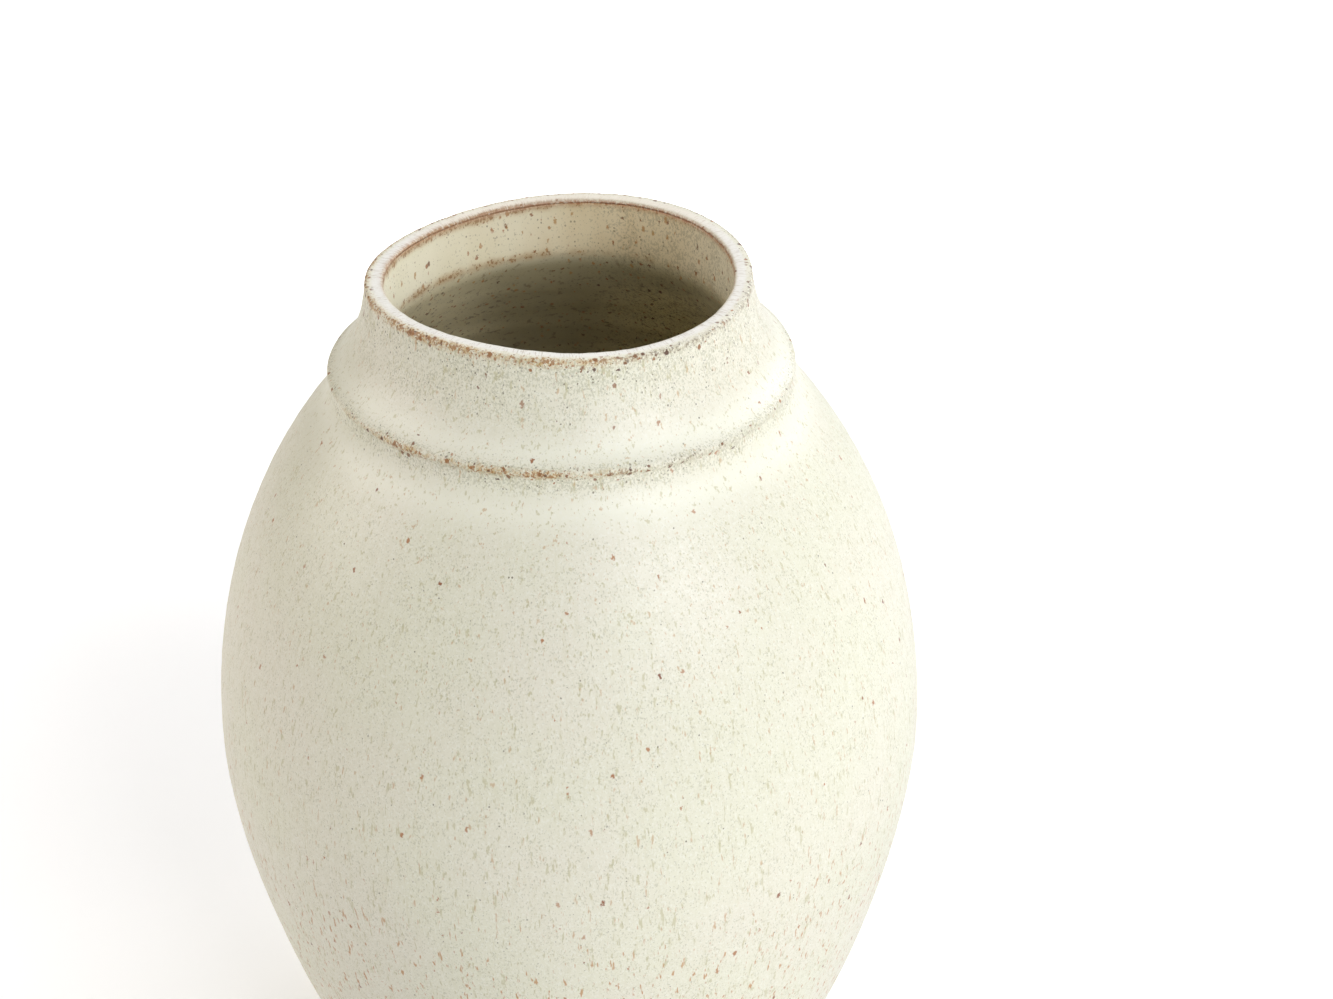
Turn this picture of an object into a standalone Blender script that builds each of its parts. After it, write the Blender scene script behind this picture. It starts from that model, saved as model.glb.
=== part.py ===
"""Stoneware vase: an egg-shaped thrown body, a short collar with a ledge luted on its shoulder
with slip, a glaze over the outside and the lip, and a liner glaze inside.

Metres, +Z up. The origin is the centre of the foot, on the ground. -Y is the vase's front.
"""

import math

import bpy
from mathutils import Vector
from mathutils.geometry import interpolate_bezier

# Overall form, measured on the glaze
HEIGHT = 0.3225
BELLY_RADIUS = 0.1197
BELLY_HEIGHT = 0.156           # height of the widest point
SHOULDER_REACH = 0.1625        # rise of the ellipse that rounds the upper half
LOWER_REACH = 0.212            # drop of the fuller curve that rounds the lower half
LOWER_POWER = 1.5

# Collar
LIP_RADIUS = 0.0603            # outside of the lip
LIP_WIDTH = 0.0057
LIP_ROUNDING = 0.0014          # how far below the top the lip's round ends
LIP_SQUARENESS = 0.65          # 1 is a half round lip, smaller is flatter on top
LEDGE_HEIGHT = 0.2919
LEDGE_RADIUS = 0.0743
LEDGE_ROUNDING = 0.0016
LEDGE_TOP_ANGLE = 60           # where the flare runs into the ledge's rounding
SHOULDER_TOP = 0.279           # where the shoulder's ellipse takes over below the ledge
BORE_DEPTH = 0.0190            # straight part of the collar's inside
SEAM_HEIGHT = 0.2870           # middle of the slip joint between the collar and the body
SLIP_THICKNESS = 0.0014

# Clay and glaze thicknesses
WALL = 0.0066                  # glaze face to glaze face
GLAZE = 0.0008
LINER = 0.0006
GAP = 0.0003                   # air between neighbouring pieces
FLOOR_THICKNESS = 0.008
FLOOR_ROUNDING = 0.026

# Foot
GLAZE_LINE = 0.0055            # bare clay below this height
FOOT_RADIUS = 0.0715           # outer edge of the ring that touches the ground
FOOT_WIDTH = 0.0085
FOOT_RECESS = 0.004
RECESS_BEVEL = 0.002

# How far the hand-thrown lip strays from a true circle: lobes around, size, crest angle
LIP_RADIUS_WAVES = ((2, 0.00018, 17), (3, 0.00053, 65), (4, 0.00015, 14))
LIP_HEIGHT_WAVES = ((1, 0.00048, -60), (2, 0.00112, 52))
WAVES_END = 0.262              # the sway dies out on the shoulder

SEGMENTS = 40
BELLY_STEPS = 6
LOWER_STEPS = 7


# Profiles: lists of points in the XZ plane, each one a half outline of the turned vase

def point(radius, height):
    return Vector((radius, 0.0, height))


def belly_radius(height):
    rise = height - BELLY_HEIGHT
    if rise >= 0:
        return BELLY_RADIUS * math.sqrt(1 - (rise / SHOULDER_REACH) ** 2)
    return BELLY_RADIUS * math.sqrt(1 - (-rise / LOWER_REACH) ** LOWER_POWER)


def belly_curve(top, bottom):
    """The belly's outline from top down to bottom, with steps of about equal length."""
    top_angle = math.asin((top - BELLY_HEIGHT) / SHOULDER_REACH)
    heights = [BELLY_HEIGHT + SHOULDER_REACH * math.sin(top_angle * (1 - step / BELLY_STEPS))
               for step in range(BELLY_STEPS + 1)]
    drop = BELLY_HEIGHT - bottom
    heights += [BELLY_HEIGHT - drop * step / LOWER_STEPS for step in range(1, LOWER_STEPS + 1)]
    return [point(belly_radius(height), height) for height in heights]


def arc(radius, height, size, start, end, steps):
    """Points on a circle of the given size around (radius, height), in degrees from outward."""
    angles = [math.radians(start + (end - start) * step / steps) for step in range(steps + 1)]
    return [point(radius + size * math.cos(a), height + size * math.sin(a)) for a in angles]


def bezier(start, start_handle, end_handle, end, count):
    return [Vector(p) for p in interpolate_bezier(start, start_handle, end_handle, end, count)]


def lip_curve():
    """A flat oval over the lip, from its inner edge to its outer edge."""
    centre = LIP_RADIUS - LIP_WIDTH / 2
    base = HEIGHT - LIP_ROUNDING
    points = []
    for angle in (180, 145, 105, 75, 35, 0):
        across = math.cos(math.radians(angle))
        up = math.sin(math.radians(angle))
        flat_across = math.copysign(abs(across) ** LIP_SQUARENESS, across)
        flat_up = up ** LIP_SQUARENESS
        points.append(point(centre + LIP_WIDTH / 2 * flat_across, base + LIP_ROUNDING * flat_up))
    return points


def outside():
    """The glaze's outer face, from the lip's inner edge over the top and down to the glaze line."""
    ledge_centre = LEDGE_RADIUS - LEDGE_ROUNDING
    lip_end = point(LIP_RADIUS, HEIGHT - LIP_ROUNDING)
    ledge = arc(ledge_centre, LEDGE_HEIGHT, LEDGE_ROUNDING, LEDGE_TOP_ANGLE, -45, 4)
    neck = bezier(lip_end, lip_end + point(0.0019, -0.0145),
                  ledge[0] + point(-0.0062, 0.0043), ledge[0], 6)
    shoulder = belly_curve(SHOULDER_TOP, GLAZE_LINE)
    down_shoulder = (shoulder[1] - shoulder[0]).normalized()
    undercut = bezier(ledge[-1], ledge[-1] + point(-0.0012, -0.0022),
                      shoulder[0] - down_shoulder * 0.0050, shoulder[0], 5)
    return lip_curve() + neck[1:] + ledge[1:] + undercut[1:] + shoulder[1:]


def inside():
    """The liner's inner face, from just under the lip down the bore and the belly to the axis."""
    bore_radius = LIP_RADIUS - LIP_WIDTH
    bore_top = point(bore_radius, HEIGHT - LIP_ROUNDING - GAP)
    bore_end = point(bore_radius, HEIGHT - BORE_DEPTH)
    wall = offset(belly_curve(SHOULDER_TOP, FLOOR_ROUNDING + 0.012), WALL)
    down_wall = (wall[1] - wall[0]).normalized()
    opening = bezier(bore_end, bore_end + point(0.0006, -0.0060),
                     wall[0] - down_wall * 0.0060, wall[0], 6)
    floor_height = FOOT_RECESS + FLOOR_THICKNESS + GAP + LINER
    floor_edge = point(wall[-1].x - FLOOR_ROUNDING, floor_height)
    corner = bezier(wall[-1], wall[-1] + (wall[-1] - wall[-2]).normalized() * FLOOR_ROUNDING * 0.55,
                    floor_edge + point(FLOOR_ROUNDING * 0.45, 0), floor_edge, 6)
    return [bore_top] + opening + wall[1:] + corner[1:] + [point(0, floor_height)]


def offset(points, distance):
    """The profile moved to the right of its own direction, so into the clay on the outside."""
    moved = []
    for index, here in enumerate(points):
        before = points[max(index - 1, 0)]
        after = points[min(index + 1, len(points) - 1)]
        along = (after - before).normalized()
        moved.append(here + Vector((along.z, 0, -along.x)) * distance)
    return moved


def cut(points, height, keep_above):
    """The run of a profile above or below a height, ending exactly on it."""
    for index in range(len(points) - 1, 0, -1):
        upper, lower = points[index - 1], points[index]
        if upper.z > height >= lower.z:
            on_cut = upper.lerp(lower, (upper.z - height) / (upper.z - lower.z))
            return points[:index] + [on_cut] if keep_above else [on_cut] + points[index:]
    raise ValueError("the profile doesn't cross this height")


# Turned solids

def wave(angle, waves):
    return sum(size * math.cos(lobes * (angle - math.radians(crest)))
               for lobes, size, crest in waves)


def smooth_step(value, start, end):
    part = min(max((value - start) / (end - start), 0.0), 1.0)
    return part * part * (3 - 2 * part)


def hand_thrown(place):
    """Where a point of the true turned form sits once the hand-thrown lip sways."""
    angle = math.atan2(place.y, place.x)
    near_lip = smooth_step(place.z, WAVES_END, HEIGHT)
    out = near_lip * wave(angle, LIP_RADIUS_WAVES)
    up = near_lip * wave(angle, LIP_HEIGHT_WAVES)
    return place + Vector((out * math.cos(angle), out * math.sin(angle), up))


def make_material(name, colour, roughness):
    material = bpy.data.materials.new(name)
    material.use_nodes = True
    shader = material.node_tree.nodes["Principled BSDF"]
    shader.inputs["Base Color"].default_value = (*colour, 1)
    shader.inputs["Roughness"].default_value = roughness
    shader.inputs["Metallic"].default_value = 0.0
    return material


def turn(name, profile, closed, material, collection):
    """Turns a profile around Z. An open profile starts and ends on the axis."""
    edges = [(index, index + 1) for index in range(len(profile) - 1)]
    if closed:
        edges.append((len(profile) - 1, 0))
    outline = bpy.data.meshes.new(name + "_outline")
    outline.from_pydata(profile, edges, [])
    blank = bpy.data.objects.new(name + "_blank", outline)
    collection.objects.link(blank)
    screw = blank.modifiers.new("turn", 'SCREW')
    screw.steps = screw.render_steps = SEGMENTS
    screw.use_merge_vertices = True
    screw.merge_threshold = 0.00001

    turned = bpy.data.meshes.new_from_object(
        blank.evaluated_get(bpy.context.evaluated_depsgraph_get()))
    turned.name = name
    bpy.data.objects.remove(blank)
    for vertex in turned.vertices:
        vertex.co = hand_thrown(vertex.co)
    turned.shade_smooth()
    turned.set_sharp_from_angle(angle=math.radians(50))
    turned.materials.clear()
    turned.materials.append(material)
    piece = bpy.data.objects.new(name, turned)
    collection.objects.link(piece)
    return piece


# The pieces

def make_body(collection, clay):
    """Belly, floor and turned foot ring, thrown and trimmed as one piece of clay."""
    seat = SEAM_HEIGHT - SLIP_THICKNESS / 2 - GAP
    outer = cut(offset(outside(), GLAZE + GAP), seat, keep_above=False)
    inner = cut(offset(inside(), -(LINER + GAP)), seat, keep_above=False)
    foot_inner = FOOT_RADIUS - FOOT_WIDTH
    foot = [point(FOOT_RADIUS, 0), point(foot_inner, 0),
            point(foot_inner - RECESS_BEVEL, FOOT_RECESS), point(0, FOOT_RECESS)]
    turn("thrown_body", inner[::-1] + outer + foot, False, clay, collection)


def make_collar(collection, clay):
    """The short neck with its flared ledge, thrown separately."""
    underside = SEAM_HEIGHT + SLIP_THICKNESS / 2 + GAP
    outer = cut(offset(outside(), GLAZE + GAP), underside, keep_above=True)
    inner = cut(offset(inside(), -(LINER + GAP)), underside, keep_above=True)
    turn("neck_collar", outer + inner[::-1], True, clay, collection)


def make_slip(collection, slip):
    """The ring of liquid clay that glues the collar on the shoulder."""
    top = SEAM_HEIGHT + SLIP_THICKNESS / 2
    bottom = SEAM_HEIGHT - SLIP_THICKNESS / 2
    outer = cut(cut(offset(outside(), GLAZE + GAP), bottom, keep_above=True), top, keep_above=False)
    inner = cut(cut(offset(inside(), -(LINER + GAP)), bottom, keep_above=True), top,
                keep_above=False)
    turn("joining_slip", outer + inner[::-1], True, slip, collection)


def make_outer_glaze(collection, glaze):
    face = outside()
    turn("outer_glaze", face + offset(face, GLAZE)[::-1], True, glaze, collection)


def make_liner_glaze(collection, glaze):
    face = inside()
    turn("liner_glaze", face[::-1] + offset(face, -LINER), False, glaze, collection)


def main():
    for old in list(bpy.data.objects):
        bpy.data.objects.remove(old)
    vase = bpy.data.collections.new("stoneware_vase")
    bpy.context.scene.collection.children.link(vase)

    clay = make_material("speckled_stoneware", (0.56, 0.45, 0.34), 0.85)
    collar_clay = make_material("collar_stoneware", (0.56, 0.45, 0.34), 0.85)
    slip = make_material("stoneware_slip", (0.64, 0.55, 0.43), 0.9)
    glaze = make_material("cream_glaze", (0.84, 0.82, 0.74), 0.45)
    liner = make_material("liner_glaze", (0.70, 0.66, 0.53), 0.5)

    make_body(vase, clay)
    make_collar(vase, collar_clay)
    make_slip(vase, slip)
    make_outer_glaze(vase, glaze)
    make_liner_glaze(vase, liner)


main()
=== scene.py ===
"""The looks of the stoneware vase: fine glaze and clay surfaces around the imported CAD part.

Metres, +Z up, in the CAD part's frame. The vase's front is -Y.
"""

import math
from types import SimpleNamespace
import bmesh
import bpy
import numpy as np
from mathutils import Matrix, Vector, noise


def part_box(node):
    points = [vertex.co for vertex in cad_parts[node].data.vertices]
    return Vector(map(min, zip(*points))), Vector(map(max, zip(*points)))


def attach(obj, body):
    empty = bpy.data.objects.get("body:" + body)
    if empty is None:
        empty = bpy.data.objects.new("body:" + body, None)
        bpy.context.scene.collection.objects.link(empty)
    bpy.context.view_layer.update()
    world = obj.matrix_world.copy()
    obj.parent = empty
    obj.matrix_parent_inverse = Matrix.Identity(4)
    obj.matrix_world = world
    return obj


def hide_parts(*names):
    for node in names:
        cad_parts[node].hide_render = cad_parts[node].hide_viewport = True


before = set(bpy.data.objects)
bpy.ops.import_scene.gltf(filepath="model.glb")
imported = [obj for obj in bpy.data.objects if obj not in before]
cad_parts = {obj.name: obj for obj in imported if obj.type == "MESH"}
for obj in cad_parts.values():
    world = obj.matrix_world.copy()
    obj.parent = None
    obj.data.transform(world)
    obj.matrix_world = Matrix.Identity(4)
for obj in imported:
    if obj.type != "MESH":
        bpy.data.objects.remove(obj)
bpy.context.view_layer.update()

MM = 0.001


# How far the hand-thrown lip strays from a true circle: lobes around, size, crest angle

LIP_RADIUS_WAVES = ((2, 0.18 * MM, 17), (3, 0.53 * MM, 65), (4, 0.15 * MM, 14))
LIP_HEIGHT_WAVES = ((1, 0.48 * MM, -60), (2, 1.12 * MM, 52))
WAVES_END = 262 * MM            # the sway dies out on the shoulder


def wave(angle, waves):
    return sum(size * np.cos(lobes * (angle - math.radians(crest)))
               for lobes, size, crest in waves)


def highest_crest():
    full_turn = np.linspace(0, 2 * math.pi, 721)
    return wave(full_turn, LIP_HEIGHT_WAVES).max()


# Form of the vase. The main sizes come from the CAD nodes' boxes.

glaze_low, glaze_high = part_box("outer_glaze")
CLAY_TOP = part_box("thrown_body")[1].z
LINER_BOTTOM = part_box("liner_glaze")[0].z

GLAZE = 0.8 * MM
LINER = 0.6 * MM
WALL = 6.6 * MM
CLAY_GAP = 0.05 * MM            # the glaze is fused to the clay, so the fine surfaces nearly touch

RIM_HEIGHT = glaze_high.z - highest_crest()
LIP_RADIUS = 60.3 * MM
LIP_WIDTH = 5.7 * MM
LIP_ROUNDING = 1.2 * MM
LIP_SQUARENESS = 0.6            # 1 is a half round lip, smaller is flatter on top
BORE_DEPTH = 18.5 * MM
LEDGE_DROP = 30.6 * MM
LEDGE_RADIUS = 74.3 * MM
LEDGE_ROUNDING = 1.6 * MM
LEDGE_ARC = (60, -45)           # degrees up from outward, where the rounded ledge starts and ends

SHOULDER_TOP = 279 * MM
SHOULDER_REACH = 162.5 * MM
BELLY_RADIUS = (glaze_high.x - glaze_low.x) / 2
BELLY_HEIGHT = 156 * MM
LOWER_REACH = 212 * MM
LOWER_POWER = 1.5
GLAZE_LINE = glaze_low.z

FLOOR_HEIGHT = LINER_BOTTOM + LINER
FLOOR_ROUNDING = 26 * MM
WALL_BOTTOM = FLOOR_ROUNDING + 12 * MM
FOOT_RADIUS = 71.5 * MM
FOOT_WIDTH = 8.5 * MM
FOOT_RECESS = 4 * MM
SOLE_ROUNDING = 1.2 * MM
BARE_TOP = 30 * MM              # the clay's outside gets fine points only below this height

# How far curves are drawn out of their ends, as offsets, lengths or parts of a rounding
NECK_TOP_PULL = (1.9 * MM, -14.5 * MM)
NECK_FOOT_PULL = (-6.2 * MM, 4.3 * MM)
UNDERCUT_PULL = (-1.2 * MM, -2.2 * MM)
SHOULDER_PULL = 5 * MM
BORE_END_PULL = (0.2 * MM, -6.5 * MM)
WALL_TOP_PULL = 9 * MM
FLOOR_CORNER_PULL = 0.55
FLOOR_EDGE_PULL = 0.45
SOLE_PULL = 0.4

# Spacing of the points along the profiles
EDGE_STEP = 0.35 * MM
FOOT_EDGE_STEP = 0.3 * MM
STEP_STEP = 0.5 * MM
CHAMFER_STEP = 0.6 * MM
RECESS_STEP = 0.7 * MM
UNDERCUT_STEP = 0.8 * MM
NECK_STEP = 0.9 * MM
SOLE_STEP = 1.0 * MM
BORE_STEP = 1.0 * MM
BELLY_STEP = 2.1 * MM
WALL_STEP = 2.6 * MM
FLOOR_STEP = 3.0 * MM
BELLY_SAMPLES = 800
LIP_SAMPLES = 241

# Hidden faces keep every second, third or fourth point
HIDDEN_EVERY = 3                # the back of a glaze
HIDDEN_CLAY_EVERY = 4           # the clay behind the outer glaze
HIDDEN_LINING_EVERY = 2         # the clay behind the liner

# Steps around the axis
TURN_STEPS = 320
INNER_TURN_STEPS = 256


# Profiles: arrays of (radius, height), dense enough to carry the surface's relief

def run_length(points):
    """How far along the outline each of its points lies."""
    return np.concatenate([[0], np.cumsum(np.linalg.norm(np.diff(points, axis=0), axis=1))])


def even(points, step):
    """The same outline with points at an even spacing along it."""
    run = run_length(points)
    places = np.linspace(0, run[-1], max(3, int(run[-1] / step) + 1))
    return np.stack([np.interp(places, run, points[:, 0]), np.interp(places, run, points[:, 1])], 1)


def line(start, end, step):
    return even(np.array([start, end]), step)


def arc(centre, size, start, end, step):
    count = max(3, int(abs(math.radians(end - start)) * size / step) + 1)
    angles = np.radians(np.linspace(start, end, count))
    return np.stack([centre[0] + size * np.cos(angles), centre[1] + size * np.sin(angles)], 1)


def bezier(start, start_handle, end_handle, end, step):
    corners = np.array([start, start_handle, end_handle, end], float)
    length = np.linalg.norm(np.diff(corners, axis=0), axis=1).sum()
    t = np.linspace(0, 1, max(4, int(length / step)))[:, None]
    weights = (1 - t) ** 3, 3 * t * (1 - t) ** 2, 3 * t * t * (1 - t), t ** 3
    return sum(weight * corner for weight, corner in zip(weights, corners))


def towards(start, end):
    """The direction from one point to another, of length one."""
    return (end - start) / np.linalg.norm(end - start)


def offset(points, distance):
    """The profile moved to the right of its own direction."""
    along = np.gradient(points, axis=0)
    along /= np.linalg.norm(along, axis=1)[:, None]
    return points + np.stack([along[:, 1], -along[:, 0]], 1) * distance


def belly_radius(height):
    rise = height - BELLY_HEIGHT
    upper = np.sqrt(1 - np.clip(rise / SHOULDER_REACH, 0, 1) ** 2)
    lower = np.sqrt(1 - np.clip(-rise / LOWER_REACH, 0, 1) ** LOWER_POWER)
    return BELLY_RADIUS * np.where(rise >= 0, upper, lower)


def belly_curve(top, bottom, step):
    heights = np.linspace(top, bottom, BELLY_SAMPLES)
    return even(np.stack([belly_radius(heights), heights], 1), step)


def lip_curve():
    """A flattened half round, from the lip's inner edge over the top to its outer edge."""
    angles = np.radians(np.linspace(180, 0, LIP_SAMPLES))
    across = np.sign(np.cos(angles)) * np.abs(np.cos(angles)) ** LIP_SQUARENESS
    up = np.clip(np.sin(angles), 0, 1) ** LIP_SQUARENESS
    centre = LIP_RADIUS - LIP_WIDTH / 2
    base = RIM_HEIGHT - LIP_ROUNDING
    return even(np.stack([centre + LIP_WIDTH / 2 * across, base + LIP_ROUNDING * up], 1), EDGE_STEP)


def outside():
    """The glaze's outer face from the lip's inner edge over the top and down to the glaze line.

    Also returns how far along it the lip's outer edge, the ledge and the undercut lie.
    """
    lip = lip_curve()
    ledge_centre = np.array([LEDGE_RADIUS - LEDGE_ROUNDING, RIM_HEIGHT - LEDGE_DROP])
    ledge = arc(ledge_centre, LEDGE_ROUNDING, *LEDGE_ARC, EDGE_STEP)
    neck = bezier(lip[-1], lip[-1] + NECK_TOP_PULL, ledge[0] + NECK_FOOT_PULL, ledge[0], NECK_STEP)
    shoulder = belly_curve(SHOULDER_TOP, GLAZE_LINE, BELLY_STEP)
    down_shoulder = towards(shoulder[0], shoulder[1])
    undercut = bezier(ledge[-1], ledge[-1] + UNDERCUT_PULL,
                      shoulder[0] - down_shoulder * SHOULDER_PULL, shoulder[0], UNDERCUT_STEP)
    parts = [lip, neck[1:], ledge[1:], undercut[1:], shoulder[1:]]
    points = np.concatenate(parts)
    lip_end, neck_end, ledge_end, undercut_end = np.cumsum([len(part) for part in parts])[:4] - 1
    run = run_length(points)
    marks = {
        "lip_outer": run[lip_end],
        "ledge": (run[neck_end] + run[ledge_end]) / 2,
        "undercut": run[ledge_end],
        "shoulder": run[undercut_end],
    }
    return points, marks


def inside():
    """The liner's inner face, from just under the lip down the bore and the belly to the axis."""
    bore_radius = LIP_RADIUS - LIP_WIDTH
    bore_top = np.array([bore_radius, RIM_HEIGHT - LIP_ROUNDING - CLAY_GAP])
    bore_end = np.array([bore_radius, RIM_HEIGHT - BORE_DEPTH])
    bore = line(bore_top, bore_end, BORE_STEP)
    wall = offset(belly_curve(SHOULDER_TOP, WALL_BOTTOM, WALL_STEP), WALL)
    down_wall = towards(wall[0], wall[1])
    opening = bezier(bore_end, bore_end + BORE_END_PULL,
                     wall[0] - down_wall * WALL_TOP_PULL, wall[0], BORE_STEP)
    floor_edge = np.array([wall[-1][0] - FLOOR_ROUNDING, FLOOR_HEIGHT])
    down_end = towards(wall[-2], wall[-1])
    corner = bezier(wall[-1], wall[-1] + down_end * FLOOR_ROUNDING * FLOOR_CORNER_PULL,
                    floor_edge + (FLOOR_ROUNDING * FLOOR_EDGE_PULL, 0), floor_edge, WALL_STEP)
    floor = line(floor_edge, (0.0, FLOOR_HEIGHT), FLOOR_STEP)
    return np.concatenate([bore, opening[1:], wall[1:], corner[1:], floor[1:]])


def foot(chamfer_top):
    """The bare clay below the glaze line: chamfer, sole, the step up behind it and the recess."""
    ring_outer = np.array([FOOT_RADIUS, 0.0])
    slope = towards(chamfer_top, ring_outer)
    sole_start = ring_outer + (-SOLE_ROUNDING, 0)
    inner_edge = FOOT_RADIUS - FOOT_WIDTH
    sole_end = (inner_edge + SOLE_ROUNDING, 0.0)
    step_foot = (inner_edge - 0.6 * MM, 1.3 * MM)
    chamfer = line(chamfer_top, ring_outer - slope * SOLE_ROUNDING, CHAMFER_STEP)
    outer_round = bezier(ring_outer - slope * SOLE_ROUNDING,
                         ring_outer - slope * SOLE_ROUNDING * SOLE_PULL,
                         ring_outer + (-SOLE_ROUNDING * SOLE_PULL, 0), sole_start, FOOT_EDGE_STEP)
    sole = line(sole_start, sole_end, SOLE_STEP)
    inner_round = bezier(sole_end, (inner_edge + 0.4 * MM, 0.0),
                         (inner_edge - 0.2 * MM, 0.4 * MM), step_foot, FOOT_EDGE_STEP)
    step = bezier(step_foot, (inner_edge - 1.4 * MM, 3.2 * MM),
                  (inner_edge - 2.4 * MM, FOOT_RECESS), (inner_edge - 5 * MM, FOOT_RECESS),
                  STEP_STEP)
    recess = line(step[-1], (0.0, FOOT_RECESS), RECESS_STEP)
    recess[-1, 0] = 0.0
    parts = (chamfer, outer_round, sole, inner_round, step, recess)
    return np.concatenate([part[1:] for part in parts])


# Turned surfaces

UV_FACE_SHARE = 0.98            # the strip that closes an outline takes the rest of the height
UV_CLOSING_STRIP = (0.985, 0.995)
ON_AXIS = 0.01 * MM
WELD_REACH = 0.02 * MM
SEED_SHIFTS = (7.31, 3.17, 5.53)
SWAY_PASSES = 4


def smooth_step(value, start, end):
    part = np.clip((value - start) / (end - start), 0, 1)
    return part * part * (3 - 2 * part)


def bump_at(run, centre, width):
    """A smooth rise to one at a place along a profile."""
    return np.exp(-0.5 * ((run - centre) / width) ** 2)


def noise_grid(places, size, seed):
    """Smooth noise, about -1 to 1, at each place, with features of the given size."""
    shift = Vector([seed * step for step in SEED_SHIFTS])
    flat = (places.reshape(-1, 3) / size).tolist()
    values = [noise.noise(Vector(place) + shift) for place in flat]
    return np.array(values).reshape(places.shape[:-1])


def ring_places(profile, angles, relief):
    """Every point of the turned surface, by profile row and angle."""
    height = profile[:, 1][:, None] + 0 * angles[None, :]
    near_lip = smooth_step(height, WAVES_END, RIM_HEIGHT)
    ring = profile[:, 0][:, None] + near_lip * wave(angles, LIP_RADIUS_WAVES)
    up = near_lip * wave(angles, LIP_HEIGHT_WAVES)
    places = np.stack([ring * np.cos(angles), ring * np.sin(angles), height + up], -1)
    along = np.gradient(profile, axis=0)
    along /= np.linalg.norm(along, axis=1)[:, None]
    normal = np.stack([-along[:, 1], along[:, 0]], 1)
    facing = np.stack([normal[:, :1] * np.cos(angles), normal[:, :1] * np.sin(angles),
                       normal[:, 1:] + 0 * angles], -1)
    return places + facing * relief(places)[..., None]


def strip_uvs(low, high, steps):
    """UV corners of whole rings of quads that reach from the low to the high values."""
    u = np.arange(steps) / steps
    uv = np.zeros((len(low), steps, 4, 2))
    uv[..., 0, 0] = uv[..., 1, 0] = u
    uv[..., 2, 0] = uv[..., 3, 0] = u + 1 / steps
    uv[..., 0, 1] = uv[..., 3, 1] = low[:, None]
    uv[..., 1, 1] = uv[..., 2, 1] = high[:, None]
    return uv.reshape(-1, 2)


def turn(name, profile, steps, relief, closed):
    """Turns a profile around Z into one closed quad mesh, hand-thrown waves and relief included.

    closed joins the profile's last point to its first; otherwise both ends lie on the axis.
    relief(places) gives how far each point stands out of the smooth form.
    """
    angles = np.arange(steps) * 2 * math.pi / steps
    places = ring_places(profile, angles, relief)
    corner = np.arange(len(profile) * steps).reshape(len(profile), steps)
    ahead = np.roll(corner, -1, axis=1)
    faces = np.stack([corner[:-1], corner[1:], ahead[1:], ahead[:-1]], -1).reshape(-1, 4).tolist()
    run = run_length(profile)
    uvs = strip_uvs(run[:-1] / run[-1], run[1:] / run[-1], steps) * UV_FACE_SHARE
    if closed:
        faces += np.stack([corner[-1], corner[0], ahead[0], ahead[-1]], -1).tolist()
        strip_low, strip_high = np.array(UV_CLOSING_STRIP)[:, None]
        uvs = np.concatenate([uvs, strip_uvs(strip_low, strip_high, steps)])
    mesh = bpy.data.meshes.new(name)
    mesh.from_pydata(places.reshape(-1, 3).tolist(), [], faces)
    layer = mesh.uv_layers.new(name="OFBake")
    layer.data.foreach_set("uv", uvs.astype(np.float32).ravel())
    if not closed:
        weld_poles(mesh)
    mesh.shade_smooth()
    piece = bpy.data.objects.new(name, mesh)
    bpy.context.scene.collection.objects.link(piece)
    return piece


def weld_poles(mesh):
    """Joins each end ring, which lies on the axis, into one point."""
    work = bmesh.new()
    work.from_mesh(mesh)
    on_axis = [v for v in work.verts if math.hypot(v.co.x, v.co.y) < ON_AXIS]
    bmesh.ops.remove_doubles(work, verts=on_axis, dist=WELD_REACH)
    work.to_mesh(mesh)
    work.free()


def per_vertex(piece, name, values):
    """Stores a value for every vertex, which the piece's material reads by name."""
    attribute = piece.data.attributes.new(name, 'FLOAT', 'POINT')
    attribute.data.foreach_set("value", np.asarray(values, np.float32))


# Node materials

def colour(red, green, blue):
    return (red, green, blue, 1.0)


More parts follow.
